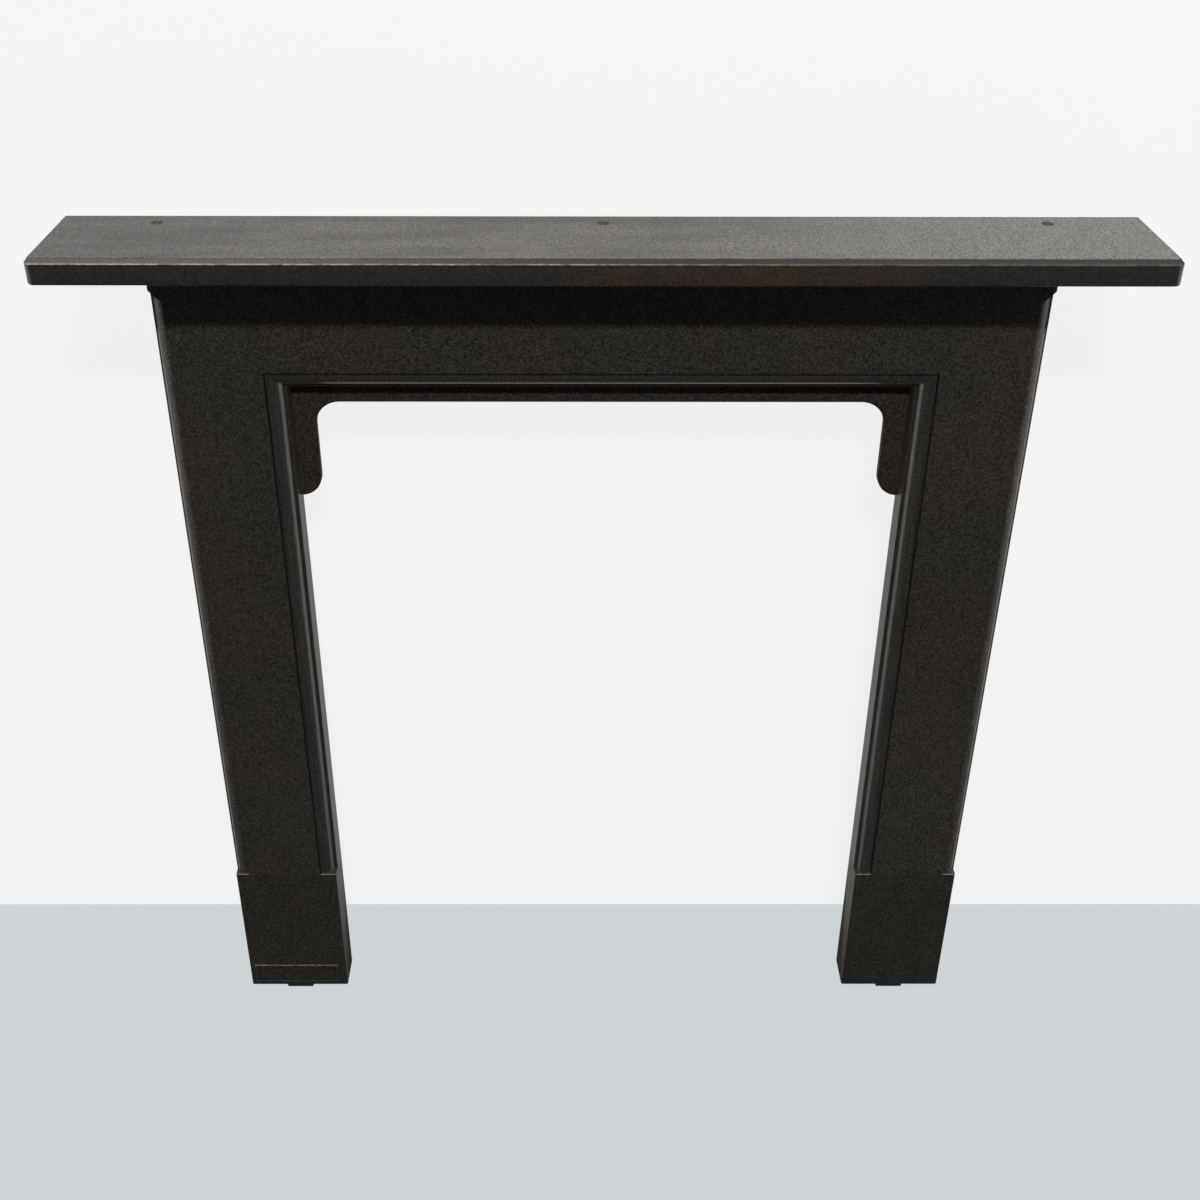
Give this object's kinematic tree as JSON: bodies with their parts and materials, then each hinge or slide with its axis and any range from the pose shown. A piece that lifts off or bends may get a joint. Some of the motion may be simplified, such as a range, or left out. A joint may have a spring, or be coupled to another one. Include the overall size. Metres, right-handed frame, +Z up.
{
  "type": "fireplace surround",
  "caption": "Plain cast-iron fireplace surround: stopped-moulded jambs on plinths, frieze and flat mantel shelf, bolted from behind.",
  "frame": {"origin": "on the hearth, under the middle of the bounding box", "axes": "+X to the right along the shelf, +Y back towards the wall, +Z up from the hearth; the face looks to -Y"},
  "size_m": [1.22, 0.16, 1.165],
  "materials": {
    "blackened_iron": "cast iron, blackened and polished, worn grey at the arrises",
    "raw_iron": "cast iron as cast, dark and rough",
    "screw_iron": "blackened countersunk screw heads, worn bright at the rim",
    "fixing_steel": "dull black steel with a little rust",
    "packer": "dull black"
  },
  "bodies": {
    "root": {"mantel_shelf": "blackened_iron", "frieze": "blackened_iron", "left_jamb": "blackened_iron", "right_jamb": "blackened_iron", "tie_plate": "raw_iron", "shelf_screws": "screw_iron", "tie_screws": "screw_iron", "shelf_washers": "fixing_steel", "shelf_nuts": "fixing_steel", "joint_bolts": "fixing_steel", "joint_washers": "fixing_steel", "joint_nuts": "fixing_steel", "left_foot_packer": "packer", "right_foot_packer": "packer"}
  },
  "joints": []
}
